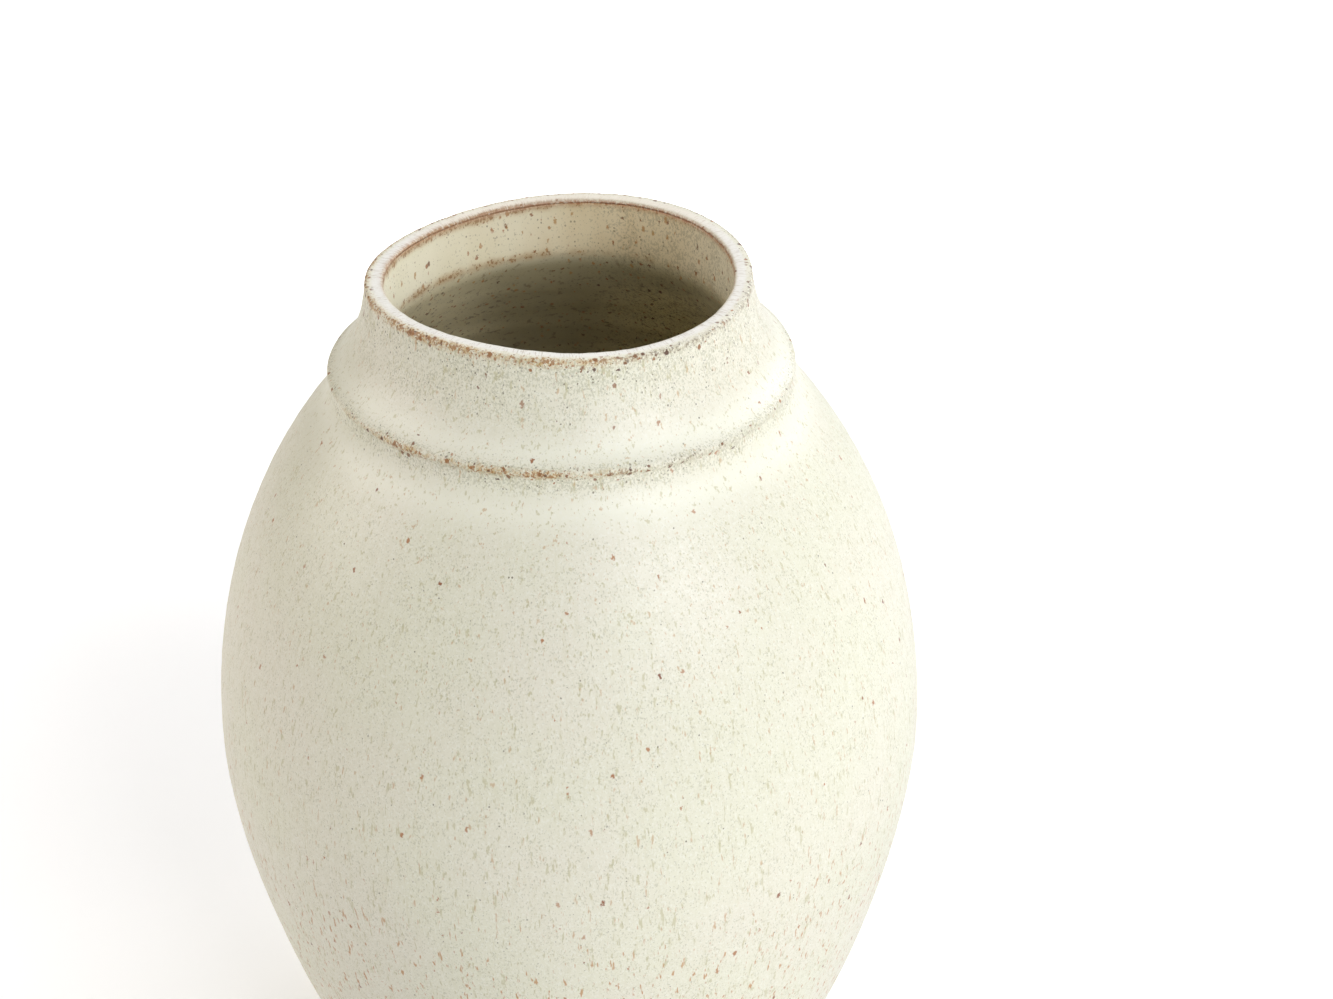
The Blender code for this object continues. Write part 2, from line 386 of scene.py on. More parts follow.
class Nodes:
    """Builds one material's node tree with short calls that return sockets."""

    def __init__(self, name):
        self.material = bpy.data.materials.new(name)
        self.material.use_nodes = True
        self.tree = self.material.node_tree
        self.shader = self.tree.nodes["Principled BSDF"]

    def put(self, socket, value):
        if isinstance(value, bpy.types.NodeSocket):
            self.tree.links.new(value, socket)
        else:
            socket.default_value = value

    def node(self, kind, inputs, **settings):
        made = self.tree.nodes.new(kind)
        for key, value in settings.items():
            setattr(made, key, value)
        for key, value in inputs.items():
            self.put(made.inputs[key], value)
        return made

    def finish(self, **inputs):
        """Feeds the shader's inputs, named with _ for each space, and returns the material."""
        for name, value in inputs.items():
            self.put(self.shader.inputs[name.replace("_", " ")], value)
        return self.material

    def math(self, operation, a, b, clamp=False):
        return self.node("ShaderNodeMath", {0: a, 1: b}, operation=operation,
                         use_clamp=clamp).outputs[0]

    def times(self, *values):
        """The product of several sockets or numbers."""
        product = values[0]
        for value in values[1:]:
            product = self.math('MULTIPLY', product, value)
        return product

    def ramp(self, value, low, high, to_low=0.0, to_high=1.0):
        return self.node("ShaderNodeMapRange",
                         {0: value, 1: low, 2: high, 3: to_low, 4: to_high},
                         interpolation_type='SMOOTHSTEP').outputs[0]

    def blend(self, amount, a, b):
        """Colour a where amount is 0, colour b where it is 1."""
        return self.node("ShaderNodeMix", {0: amount, 6: a, 7: b}, data_type='RGBA').outputs[2]

    def cover(self, base, top, *amounts):
        """Lays one colour over another, as strongly as the product of the amounts."""
        return self.blend(self.times(*amounts), base, top)

    def vector(self, operation, a, b):
        return self.node("ShaderNodeVectorMath", {0: a, 1: b}, operation=operation).outputs[0]

    def unit(self, vector):
        return self.node("ShaderNodeVectorMath", {0: vector}, operation='NORMALIZE').outputs[0]

    def scaled(self, vector, factor):
        return self.node("ShaderNodeVectorMath", {0: vector, "Scale": factor},
                         operation='SCALE').outputs[0]

    def stretched(self, place, across, up):
        """Where to look a pattern up so that it is drawn out: the smaller a factor, the more."""
        return self.vector('MULTIPLY', place, (across, across, up))

    def axes(self, vector):
        return self.node("ShaderNodeSeparateXYZ", {0: vector}).outputs

    def channel(self, shade, index):
        return self.node("ShaderNodeSeparateColor", {0: shade}).outputs[index]

    def noise(self, place, size, detail, rough=0.5):
        return self.node("ShaderNodeTexNoise", {"Vector": place, "Scale": 1 / size,
                                                "Detail": detail, "Roughness": rough}).outputs[0]

    def wobbled(self, place, size, reach):
        """The place moved about by noise of the given size, as far as reach."""
        shade = self.node("ShaderNodeTexNoise", {"Vector": place, "Scale": 1 / size,
                                                 "Detail": 1.0}).outputs[1]
        wobble = self.vector('SUBTRACT', shade, (0.5, 0.5, 0.5))
        return self.vector('ADD', place, self.scaled(wobble, reach))

    def attribute(self, name):
        return self.node("ShaderNodeAttribute", {}, attribute_name=name).outputs["Fac"]

    def place(self):
        return self.node("ShaderNodeTexCoord", {}).outputs["Object"]

    def bump(self, height, strength, distance):
        return self.node("ShaderNodeBump", {"Strength": strength, "Distance": distance,
                                            "Height": height}).outputs[0]


SPECK_SOFTNESS = 0.45           # the share of a spot's radius over which it fades in
SPECK_RAGGEDNESS_SIZE = 0.9 * MM


def specks(nodes, place, cell, share, smallest, largest, drop=1.0, ragged=0.0):
    """Scattered spots: how strongly each point is inside one, and a random value per spot.

    cell is the mean distance between places a spot can be, share how many of them hold one,
    smallest and largest the spots' radii, drop how much taller than wide they are, and ragged
    how far their outlines stray.
    """
    if ragged:
        place = nodes.wobbled(place, SPECK_RAGGEDNESS_SIZE, ragged)
    distance, chance = cells(nodes, nodes.stretched(place, 1.0, 1.0 / drop), cell)
    size = nodes.ramp(nodes.channel(chance, 2), 0.0, 1.0, smallest / cell, largest / cell)
    held = nodes.math('LESS_THAN', nodes.channel(chance, 0), share)
    depth = nodes.math('SUBTRACT', 1.0, nodes.math('DIVIDE', distance, size), clamp=True)
    return nodes.times(nodes.ramp(depth, 0.0, SPECK_SOFTNESS), held), nodes.channel(chance, 1)


def cells(nodes, place, size):
    """Scattered points: how far the nearest one is, and its own random colour."""
    made = nodes.node("ShaderNodeTexVoronoi", {"Vector": place, "Scale": 1 / size})
    return made.outputs["Distance"], made.outputs["Color"]


def grit(nodes, place, size, amount, soft=0.06):
    """Irregular crumbs from thresholded noise. amount, 0 to 1, sets how much they cover."""
    threshold = nodes.ramp(amount, 0.0, 1.0, 0.65, 0.46)
    level = nodes.math('SUBTRACT', nodes.noise(place, size, 2, 0.7), threshold)
    return nodes.ramp(level, 0.0, soft)


def to_back_left(nodes, axes):
    """How far a vector reaches towards the left of the back."""
    return nodes.math('SUBTRACT', nodes.times(axes[1], 0.6), nodes.times(axes[0], 0.8))


# Outer glaze

CREAM_COOL = colour(0.835, 0.825, 0.670)
CREAM_WARM = colour(0.850, 0.820, 0.690)
RUN_OLIVE = colour(0.68, 0.65, 0.44)
MOTTLE_GREY = colour(0.69, 0.67, 0.52)
# Whiter pooled glaze; on the upward-facing flare above the ledge partly painted light
POOL_AND_LIGHT_WHITE = colour(0.93, 0.925, 0.785)
CRUMB_WHITE = colour(0.93, 0.925, 0.82)
GRAIN_GREY = colour(0.37, 0.365, 0.22)
DOT_BROWN = colour(0.19, 0.155, 0.09)
FLECK_OLIVE = colour(0.50, 0.46, 0.22)
FLECK_TAN = colour(0.58, 0.39, 0.18)
FLECK_ORANGE = colour(0.54, 0.27, 0.085)
SPOT_RED = colour(0.24, 0.075, 0.025)
SPOT_ORANGE = colour(0.46, 0.20, 0.07)
SPOT_DARK = colour(0.12, 0.04, 0.018)
STAIN_GREY = colour(0.50, 0.44, 0.30)
STAIN_MUSTARD = colour(0.60, 0.37, 0.10)
EDGE_GREY = colour(0.31, 0.26, 0.18)
EDGE_BROWN = colour(0.38, 0.17, 0.05)
BLOB_DARK = colour(0.085, 0.028, 0.013)
BLOB_BROWN = colour(0.42, 0.18, 0.05)
FILM_WHITE = colour(0.90, 0.88, 0.82)
FILM_HAIR = colour(0.60, 0.54, 0.44)
FILM_TAN = colour(0.87, 0.79, 0.64)
BAND_BROWN = colour(0.43, 0.26, 0.155)
MOUTH_LINE_RED = colour(0.40, 0.15, 0.06)
MOUTH_LINE_BROWN = colour(0.38, 0.20, 0.10)


def glaze_zones(nodes):
    """Where on the vase a point of the outer glaze lies, most of it as values from 0 to 1."""
    place = nodes.place()
    x, _, z = nodes.axes(place)
    direction = nodes.unit(nodes.stretched(place, 1.0, 0.0))
    facing = nodes.axes(direction)
    patches = nodes.noise(place, 8 * MM, 3, 0.65)
    grain = nodes.attribute("grain")
    return SimpleNamespace(
        place=place,
        direction=direction,
        facing_back=facing[1],
        leftness=nodes.ramp(x, -LIP_RADIUS, LIP_RADIUS, 1.0, 0.0),
        back_left=nodes.ramp(to_back_left(nodes, facing), 0.40, 0.95),
        lowness=nodes.ramp(z, 0.75 * BELLY_HEIGHT, 1.2 * BELLY_HEIGHT, 1.0, 0.0),
        neckness=nodes.ramp(z, RIM_HEIGHT - LEDGE_DROP, RIM_HEIGHT, 0.0, 1.0),
        grain=grain,
        patches=patches,
        density=nodes.times(nodes.ramp(patches, 0.30, 0.70, 0.65, 1.1), grain),
        fine_place=nodes.stretched(place, 1.0, 0.72),
        crumbs=nodes.noise(place, 1.0 * MM, 3, 0.7),
    )


def cream_ground(nodes, zone):
    """Cream with slow, cloudy changes of warmth, thin vertical runs, and whiter pools; the whiter
    band on the flare above the ledge is partly pooled glaze and partly painted light.
    """
    place = zone.place
    clouds = nodes.noise(place, 55 * MM, 3)
    base = nodes.blend(nodes.ramp(clouds, 0.35, 0.65), CREAM_COOL, CREAM_WARM)
    around = nodes.scaled(zone.direction, BELLY_RADIUS)
    flow_place = nodes.vector('ADD', around, nodes.stretched(place, 0.0, 0.16))
    runs = nodes.noise(flow_place, 1.6 * MM, 3)
    base = nodes.cover(base, RUN_OLIVE, nodes.ramp(runs, 0.50, 0.72), 0.20)
    mottle = nodes.noise(place, 3.0 * MM, 3, 0.6)
    base = nodes.cover(base, MOTTLE_GREY, nodes.ramp(mottle, 0.48, 0.70), 0.18)
    # Whiter bands: pooled glaze, and on the flare above the ledge partly painted light
    return nodes.cover(base, POOL_AND_LIGHT_WHITE, nodes.attribute("pool_and_flare_light"), 0.8)


def add_grain(nodes, zone, base, fine):
    """Fine grey grain, denser in patches, between equally fine white crumbs and small dots."""
    white_place = nodes.vector('ADD', zone.fine_place, (0.3, 0.1, 0.2))
    base = nodes.cover(base, CRUMB_WHITE, grit(nodes, white_place, 0.7 * MM, 0.52), 0.55)
    base = nodes.cover(base, GRAIN_GREY, fine, 0.38)
    crowded = nodes.ramp(zone.grain, 0.5, 1.0, 0.04, 0.85)
    dots, dot_tint = specks(nodes, zone.place, cell=0.95 * MM,
                            share=nodes.times(zone.density, crowded),
                            smallest=0.15 * MM, largest=0.35 * MM, drop=1.2, ragged=0.35 * MM)
    return nodes.cover(base, DOT_BROWN, dots, nodes.ramp(dot_tint, 0.0, 1.0, 0.35, 0.95))


def add_flecks(nodes, zone, base):
    """Soft olive and tan flecks, drawn down by the melt. Those low on the vase are orange."""
    drawn = nodes.stretched(zone.place, 1.0, 0.22)
    olive_share = nodes.ramp(zone.patches, 0.35, 0.65, 0.24, 0.42)
    olive = grit(nodes, drawn, 1.35 * MM, olive_share, soft=0.09)
    base = nodes.cover(base, FLECK_OLIVE, olive, 0.50)
    tan_share = nodes.ramp(zone.lowness, 0.0, 1.0, 0.15, 0.34)
    tan_place = nodes.vector('ADD', drawn, (0.2, 0.4, 0.1))
    tan = grit(nodes, tan_place, 1.45 * MM, tan_share, soft=0.09)
    return nodes.cover(base, nodes.blend(zone.lowness, FLECK_TAN, FLECK_ORANGE),
                       tan, nodes.ramp(zone.lowness, 0.0, 1.0, 0.64, 0.85))


def add_iron_spots(nodes, zone, base, spots, spot_tint):
    """Iron spots: orange-brown ones, and a few nearly black."""
    shade = nodes.blend(nodes.ramp(spot_tint, 0.0, 0.4), SPOT_RED, SPOT_ORANGE)
    shade = nodes.cover(shade, SPOT_DARK, zone.neckness, 0.6)
    return nodes.cover(base, shade, spots, nodes.ramp(spot_tint, 0.2, 1.0, 0.95, 0.7))


def add_iron_edges(nodes, zone, base):
    """The glaze broken thin over the lip's edges and the ledge: stain, crumbs and dark blobs."""
    side = nodes.ramp(zone.leftness, 0.10, 0.55, 0.72, 1.0)
    frontness = nodes.ramp(zone.facing_back, -0.95, -0.35, 0.86, 0.36)
    edge = nodes.math('MAXIMUM', nodes.times(nodes.attribute("lip_break"), side),
                      nodes.times(nodes.attribute("ledge_break"), side, frontness))
    edge = nodes.math('MAXIMUM', edge,
                      nodes.times(nodes.attribute("bore_edge"), zone.back_left, 0.8))
    drift = nodes.noise(zone.place, 11 * MM, 2)
    patchy = nodes.times(edge, nodes.ramp(drift, 0.30, 0.60, 0.62, 1.15))
    warm_side = nodes.ramp(zone.leftness, 0.10, 0.42)
    stain = nodes.times(nodes.ramp(patchy, 0.1, 0.9),
                        nodes.ramp(zone.crumbs, 0.44, 0.56, 0.10, 1.0))
    base = nodes.cover(base, nodes.blend(warm_side, STAIN_GREY, STAIN_MUSTARD), stain, 0.62)
    share = nodes.times(patchy, 0.85)
    brown = grit(nodes, zone.fine_place, 0.9 * MM, share)
    base = nodes.cover(base, nodes.blend(warm_side, EDGE_GREY, EDGE_BROWN),
                       brown, nodes.ramp(patchy, 0.05, 0.3), 0.8)
    blobs, blob_tint = specks(nodes, zone.place, cell=1.7 * MM, share=share,
                              smallest=0.35 * MM, largest=1.00 * MM, drop=1.25, ragged=0.8 * MM)
    return nodes.cover(base, nodes.blend(blob_tint, BLOB_DARK, BLOB_BROWN), blobs, 0.92)


def add_lip_film(nodes, zone, base):
    """The lip's top: a smooth bright film with fine radial hairs, and a brown band inside it."""
    hair_place = nodes.vector('ADD', nodes.scaled(zone.direction, LIP_RADIUS),
                              nodes.scaled(zone.place, 0.16))
    hairs = nodes.noise(hair_place, 0.55 * MM, 3, 0.7)
    film = nodes.blend(nodes.ramp(hairs, 0.52, 0.66), FILM_WHITE, FILM_HAIR)
    film = nodes.blend(nodes.ramp(zone.facing_back, 0.3, 0.9, 0.0, 0.7), film, FILM_TAN)
    base = nodes.cover(base, film, nodes.attribute("lip_top"), 0.93)
    coarse_hairs = nodes.ramp(nodes.noise(hair_place, 0.9 * MM, 3, 0.7), 0.40, 0.60, 0.15, 1.0)
    band = nodes.times(nodes.attribute("inner_band"), zone.back_left, coarse_hairs)
    return nodes.cover(base, BAND_BROWN, band, 0.85)


def add_mouth_line(nodes, base, shown, crumbs, back_left):
    """The red-brown line of iron along the mouth's inner edge, on both glazes."""
    mouth_line = nodes.times(nodes.attribute("inner_line"), shown,
                             nodes.ramp(crumbs, 0.38, 0.54, 0.35, 1.0))
    return nodes.cover(base, nodes.blend(back_left, MOUTH_LINE_RED, MOUTH_LINE_BROWN),
                       mouth_line, 0.95)


def outer_glaze_material():
    nodes = Nodes("cream_speckled_glaze")
    zone = glaze_zones(nodes)
    fine = grit(nodes, zone.fine_place, 0.6 * MM, nodes.times(zone.density, 0.85))
    low_or_neck = nodes.math('MAXIMUM', zone.lowness, zone.neckness)
    spots, spot_tint = specks(nodes, zone.place, cell=3.4 * MM,
                              share=nodes.math('ADD', nodes.times(low_or_neck, 0.32), 0.13),
                              smallest=0.28 * MM, largest=0.80 * MM, drop=1.9, ragged=1.5 * MM)
    base = cream_ground(nodes, zone)
    base = add_grain(nodes, zone, base, fine)
    base = add_flecks(nodes, zone, base)
    base = add_iron_spots(nodes, zone, base, spots, spot_tint)
    base = add_iron_edges(nodes, zone, base)
    base = add_lip_film(nodes, zone, base)
    base = add_mouth_line(nodes, base, nodes.ramp(zone.facing_back, -0.50, -0.10),
                          zone.crumbs, zone.back_left)
    sheen = nodes.ramp(nodes.noise(zone.place, 3 * MM, 2), 0.3, 0.7, 0.36, 0.48)
    relief = nodes.math('SUBTRACT', nodes.noise(zone.place, 1.3 * MM, 2), nodes.times(fine, 0.25))
    relief = nodes.math('SUBTRACT', relief, nodes.times(spots, 0.35))
    return nodes.finish(Base_Color=base,
                        Roughness=nodes.math('ADD', sheen, nodes.times(fine, 0.10)),
                        Normal=nodes.bump(relief, strength=0.35, distance=0.08 * MM))


# Liner glaze

BORE_CREAM_COOL = colour(0.84, 0.80, 0.61)
BORE_CREAM_WARM = colour(0.88, 0.84, 0.66)
BORE_RIGHT_TAN = colour(0.66, 0.56, 0.41)
BORE_BACK_TAN = colour(0.74, 0.58, 0.33)
BORE_BACK_BROWN = colour(0.64, 0.47, 0.25)
DEEP_OLIVE = colour(0.50, 0.45, 0.29)
# Painted light: the bright cream of the deep inner walls at the left and right sides
DEEP_PAINTED_LIGHT_CREAM = colour(0.96, 0.87, 0.60)
# Painted shadow: the olive band just under the bore's lower edge
PAINTED_SHADOW_OLIVE = colour(0.42, 0.38, 0.24)
STREAK_OLIVE = colour(0.30, 0.255, 0.15)
BLOTCH_BROWN = colour(0.22, 0.15, 0.085)
LINER_GRAIN = colour(0.25, 0.22, 0.13)
LINER_DOT = colour(0.17, 0.12, 0.06)
DRIP_RED = colour(0.42, 0.17, 0.06)
DRIP_TAN = colour(0.50, 0.30, 0.11)
LINER_SPOT_DARK = colour(0.13, 0.055, 0.025)
LINER_SPOT_RED = colour(0.36, 0.14, 0.05)
BORE_EDGE_MUSTARD = colour(0.50, 0.32, 0.14)
BORE_EDGE_BROWN = colour(0.32, 0.16, 0.07)


def liner_zones(nodes):
    """Where inside the vase a point of the liner lies, most of it as values from 0 to 1."""
    place = nodes.place()
    axes = nodes.axes(place)
    deep = nodes.attribute("deep")
    return SimpleNamespace(
        place=place,
        x=axes[0],
        y=axes[1],
        rightness=nodes.ramp(axes[0], -10 * MM, 40 * MM),
        backness=nodes.ramp(axes[1], 20 * MM, 50 * MM),
        back_left=nodes.ramp(to_back_left(nodes, axes), 20 * MM, 52 * MM),
        deep=deep,
        bore=nodes.math('SUBTRACT', 1.0, deep),
        # shade: the band just under the bore that gets painted shadow
        shade=nodes.attribute("below_bore"),
        fine_place=nodes.stretched(place, 1.0, 0.72),
    )


def liner_ground(nodes, zone):
    """Cream in the bore, tan at its right and back, and streaked olive below it, with painted light
    on the deep side walls and a band of painted shadow just under the bore.
    """
    place, bore = zone.place, zone.bore
    clouds = nodes.noise(place, 24 * MM, 3)
    base = nodes.blend(nodes.ramp(clouds, 0.35, 0.65), BORE_CREAM_COOL, BORE_CREAM_WARM)
    base = nodes.cover(base, BORE_RIGHT_TAN, zone.rightness, bore, 0.40)
    warm_back = nodes.times(zone.backness, bore, nodes.ramp(zone.back_left, 0.2, 1.0, 1.0, 0.30))
    base = nodes.cover(base, BORE_BACK_TAN, warm_back, 0.52)
    warm = nodes.noise(nodes.stretched(place, 1.0, 0.4), 12 * MM, 2)
    base = nodes.cover(base, BORE_BACK_BROWN, warm_back, nodes.ramp(warm, 0.40, 0.65), 0.28)
    # Painted light: deep inside, the walls go from olive in the middle to bright cream at the left
    # and right sides
    painted_light_sides = nodes.math('MAXIMUM', nodes.ramp(zone.x, -50 * MM, -18 * MM, 1.0, 0.0),
                       nodes.ramp(zone.x, 0.0, 32 * MM))
    base = nodes.blend(zone.deep, base, nodes.blend(painted_light_sides, DEEP_OLIVE, DEEP_PAINTED_LIGHT_CREAM))
    # Painted shadow just under the bore, stronger towards the right
    base = nodes.cover(base, PAINTED_SHADOW_OLIVE, zone.shade,
                       nodes.ramp(zone.rightness, 0.0, 0.6, 0.30, 0.75))
    streaks = nodes.noise(nodes.stretched(place, 0.12, 1.0), 15 * MM, 2)
    base = nodes.cover(base, STREAK_OLIVE, zone.deep, nodes.ramp(streaks, 0.42, 0.62), 0.34)
    blotches = nodes.noise(place, 2.6 * MM, 3, 0.65)
    return nodes.cover(base, BLOTCH_BROWN, nodes.math('MAXIMUM', zone.deep, zone.shade),
                       nodes.ramp(blotches, 0.57, 0.67), 0.58)


def add_liner_specks(nodes, zone, base):
    """Fine grain and dots, denser at the right, tall drips and iron spots."""
    place = zone.place
    patches = nodes.noise(place, 7 * MM, 3, 0.65)
    density = nodes.times(nodes.ramp(zone.rightness, 0.0, 1.0, 0.35, 0.95),
                          nodes.ramp(patches, 0.35, 0.65, 0.5, 1.1))
    fine = grit(nodes, zone.fine_place, 0.75 * MM, density)
    base = nodes.cover(base, LINER_GRAIN, fine, 0.36)
    dots, dot_tint = specks(nodes, place, cell=1.1 * MM, share=nodes.times(density, 0.75),
                            smallest=0.16 * MM, largest=0.40 * MM, drop=1.3, ragged=0.4 * MM)
    base = nodes.cover(base, LINER_DOT, dots, nodes.ramp(dot_tint, 0.0, 1.0, 0.2, 0.7))
    drips, drip_tint = specks(nodes, place, cell=2.5 * MM, share=0.60,
                              smallest=0.30 * MM, largest=0.78 * MM, drop=2.0, ragged=1.2 * MM)
    base = nodes.cover(base, nodes.blend(drip_tint, DRIP_RED, DRIP_TAN), drips, 0.8)
    spots, spot_tint = specks(nodes, place, cell=3.0 * MM,
                              share=nodes.ramp(zone.rightness, 0.0, 1.0, 0.28, 0.62),
                              smallest=0.30 * MM, largest=0.85 * MM, drop=1.5, ragged=1.5 * MM)
    return nodes.cover(base, nodes.blend(spot_tint, LINER_SPOT_DARK, LINER_SPOT_RED), spots, 0.85)


def add_bore_edges(nodes, zone, base):
    """Iron gathered in a patchy band along the bore's upper and lower edges."""
    drift = nodes.noise(nodes.stretched(zone.place, 1.0, 0.3), 6 * MM, 2)
    patchy = nodes.times(nodes.attribute("bore_break"),
                         nodes.ramp(zone.back_left, 0.0, 1.0, 0.45, 0.9),
                         nodes.ramp(drift, 0.34, 0.62, 0.5, 1.2))
    base = nodes.cover(base, BORE_EDGE_MUSTARD, nodes.ramp(patchy, 0.05, 0.8), 0.60)
    brown = grit(nodes, zone.fine_place, 1.0 * MM, patchy)
    return nodes.cover(base, BORE_EDGE_BROWN, brown, nodes.ramp(patchy, 0.05, 0.3), 0.75)


def liner_material():
    nodes = Nodes("liner_glaze_satin")
    zone = liner_zones(nodes)
    base = liner_ground(nodes, zone)
    base = add_liner_specks(nodes, zone, base)
    base = add_bore_edges(nodes, zone, base)
    crumbs = nodes.noise(zone.place, 1.0 * MM, 3, 0.7)
    base = add_mouth_line(nodes, base, nodes.ramp(zone.y, -20 * MM, 0.0), crumbs, zone.back_left)
    sheen = nodes.ramp(nodes.noise(zone.place, 4 * MM, 2), 0.3, 0.7, 0.50, 0.62)
    relief = nodes.bump(nodes.noise(zone.place, 1.6 * MM, 3), strength=0.4, distance=0.1 * MM)
    return nodes.finish(Base_Color=base, Roughness=sheen, Normal=relief)


# Clay and slip

SAND_BROWN = colour(0.30, 0.21, 0.14)
CLAY_IRON_DARK = colour(0.10, 0.05, 0.03)
CLAY_IRON_RED = colour(0.30, 0.16, 0.08)
CLAY_ROUGHNESS = 0.88
STONEWARE = colour(0.46, 0.35, 0.25), colour(0.60, 0.49, 0.37)
FIRED_SLIP = colour(0.56, 0.46, 0.35), colour(0.66, 0.57, 0.45)


def clay_material(name, base_dark, base_light):
    nodes = Nodes(name)
    place = nodes.place()
    clouds = nodes.noise(place, 12 * MM, 4, 0.6)
    base = nodes.blend(nodes.ramp(clouds, 0.3, 0.7), base_dark, base_light)
    sand = nodes.noise(place, 0.7 * MM, 2)
    base = nodes.cover(base, SAND_BROWN, nodes.ramp(sand, 0.55, 0.7), 0.5)
    iron, iron_tint = specks(nodes, place, cell=3.5 * MM, share=0.35,
                             smallest=0.25 * MM, largest=0.6 * MM)
    base = nodes.cover(base, nodes.blend(iron_tint, CLAY_IRON_DARK, CLAY_IRON_RED), iron, 0.8)
    relief = nodes.bump(nodes.noise(place, 0.6 * MM, 3), strength=0.5, distance=0.15 * MM)
    return nodes.finish(Base_Color=base, Roughness=CLAY_ROUGHNESS, Normal=relief)


# The pieces


def finish_piece(piece, material, node):
    """Gives a fine piece its material and puts it in the place of its CAD node."""
    piece.data.materials.append(material)
    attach(piece, "root")
    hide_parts(node)


def recolour(node, material):
    """Gives a CAD node that keeps its shape its final material."""
    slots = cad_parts[node].data.materials
    slots.clear()
    slots.append(material)


def skin(face, thickness):
    """A closed outline: the face, and the hidden back behind it with fewer points."""
    return np.concatenate([face, offset(face, thickness)[::-HIDDEN_EVERY]])


def throwing_rings(places, spacing, depth, seed):
    """Waves up the wall, as fingers leave them, that wander slowly up and down."""
    sway = noise_grid(places * (1, 1, 0.3), size=60 * MM, seed=seed)
    return np.cos(2 * math.pi * places[..., 2] / spacing + 2.5 * sway) * depth


def outer_relief(places):
    """Faint throwing rings, slow dents and a slightly uneven lip."""
    height = places[..., 2]
    dents = noise_grid(places, size=45 * MM, seed=1) * 0.22 * MM
    rings = throwing_rings(places, spacing=7.5 * MM, depth=0.035 * MM, seed=2)
    fine = noise_grid(places, size=9 * MM, seed=3) * 0.05 * MM
    on_lip = smooth_step(height, RIM_HEIGHT - 5 * MM, RIM_HEIGHT - 2 * MM)
    nicks = noise_grid(places, size=3.5 * MM, seed=7) * 0.13 * MM * on_lip
    return (dents + rings + fine + nicks) * smooth_step(height, 0, 12 * MM)


def glaze_rows(run, marks):
    """How strongly each kind of marking shows at each point down the outer glaze."""
    drop = run - marks["lip_outer"]
    neck = (smooth_step(drop, -2.2 * MM, 0.2 * MM)
            * (1 - 0.25 * smooth_step(drop, 4 * MM, 12 * MM)
               - 0.45 * smooth_step(drop, 15 * MM, 24 * MM)))
    # Denser grey grain just under the ledge: partly the glaze's speckle, partly painted shade where
    # the undercut gets less light
    grain_and_shade_under_ledge = bump_at(run, marks["undercut"] + 2.3 * MM, width=2.8 * MM)
    body = smooth_step(run, marks["shoulder"] - 2 * MM, marks["shoulder"] + 12 * MM)
    ledge = marks["ledge"]
    return {
        "lip_break": bump_at(run, marks["lip_outer"] - 0.5 * MM, width=1.35 * MM),
        "bore_edge": bump_at(run, 0.3 * MM, width=1.0 * MM),
        "inner_line": bump_at(run, 0.0, width=0.65 * MM),
        "inner_band": 1 - smooth_step(run, 0.6 * MM, 3.0 * MM),
        "ledge_break": bump_at(run, ledge + 0.3 * MM, width=1.35 * MM),
        # Whiter bands: pooled glaze below the undercut, and on the upward-facing flare above the
        # ledge partly pooled glaze, partly painted light
        "pool_and_flare_light": np.maximum(bump_at(run, ledge - 6.3 * MM, width=3.0 * MM),
                           bump_at(run, marks["shoulder"] - 2 * MM, width=4.0 * MM)),
        "grain": np.clip(neck * (run < ledge) + grain_and_shade_under_ledge + 0.55 * body
                         + 0.8 * bump_at(run, ledge, width=2.2 * MM), 0, 1),
        "lip_top": (smooth_step(run, 0.9 * MM, 1.8 * MM)
                    * (1 - smooth_step(run, marks["lip_outer"] - 3.6 * MM,
                                       marks["lip_outer"] - 2.1 * MM))),
    }


def make_outer_glaze(material):
    face, marks = outside()
    piece = turn("outer_glaze_fine", skin(face, GLAZE), TURN_STEPS, outer_relief, closed=True)
    for name, values in glaze_rows(run_length(face), marks).items():
        rows = np.concatenate([values, values[::-HIDDEN_EVERY]])
        per_vertex(piece, name, np.repeat(rows, TURN_STEPS))
    finish_piece(piece, material, "outer_glaze")


def inner_relief(places):
    """Faint throwing rings below the bore and slow dents."""
    height = places[..., 2]
    rings = throwing_rings(places, spacing=13 * MM, depth=0.07 * MM, seed=4)
    below_bore = 1 - smooth_step(height, RIM_HEIGHT - 30 * MM, RIM_HEIGHT - 18 * MM)
    dents = noise_grid(places, size=25 * MM, seed=5) * 0.12 * MM
    fade = smooth_step(height, FLOOR_HEIGHT, FLOOR_HEIGHT + 25 * MM)
    return (rings * below_bore + dents) * fade


def depth_below_rim(piece):
    """How deep each vertex lies in the vase, with the lip's sway taken out again."""
    points = np.array([vertex.co for vertex in piece.data.vertices])
    sway = wave(np.arctan2(points[:, 1], points[:, 0]), LIP_HEIGHT_WAVES)
    height = points[:, 2]
    for _ in range(SWAY_PASSES):
        height = points[:, 2] - smooth_step(height, WAVES_END, RIM_HEIGHT) * sway
    return RIM_HEIGHT - height


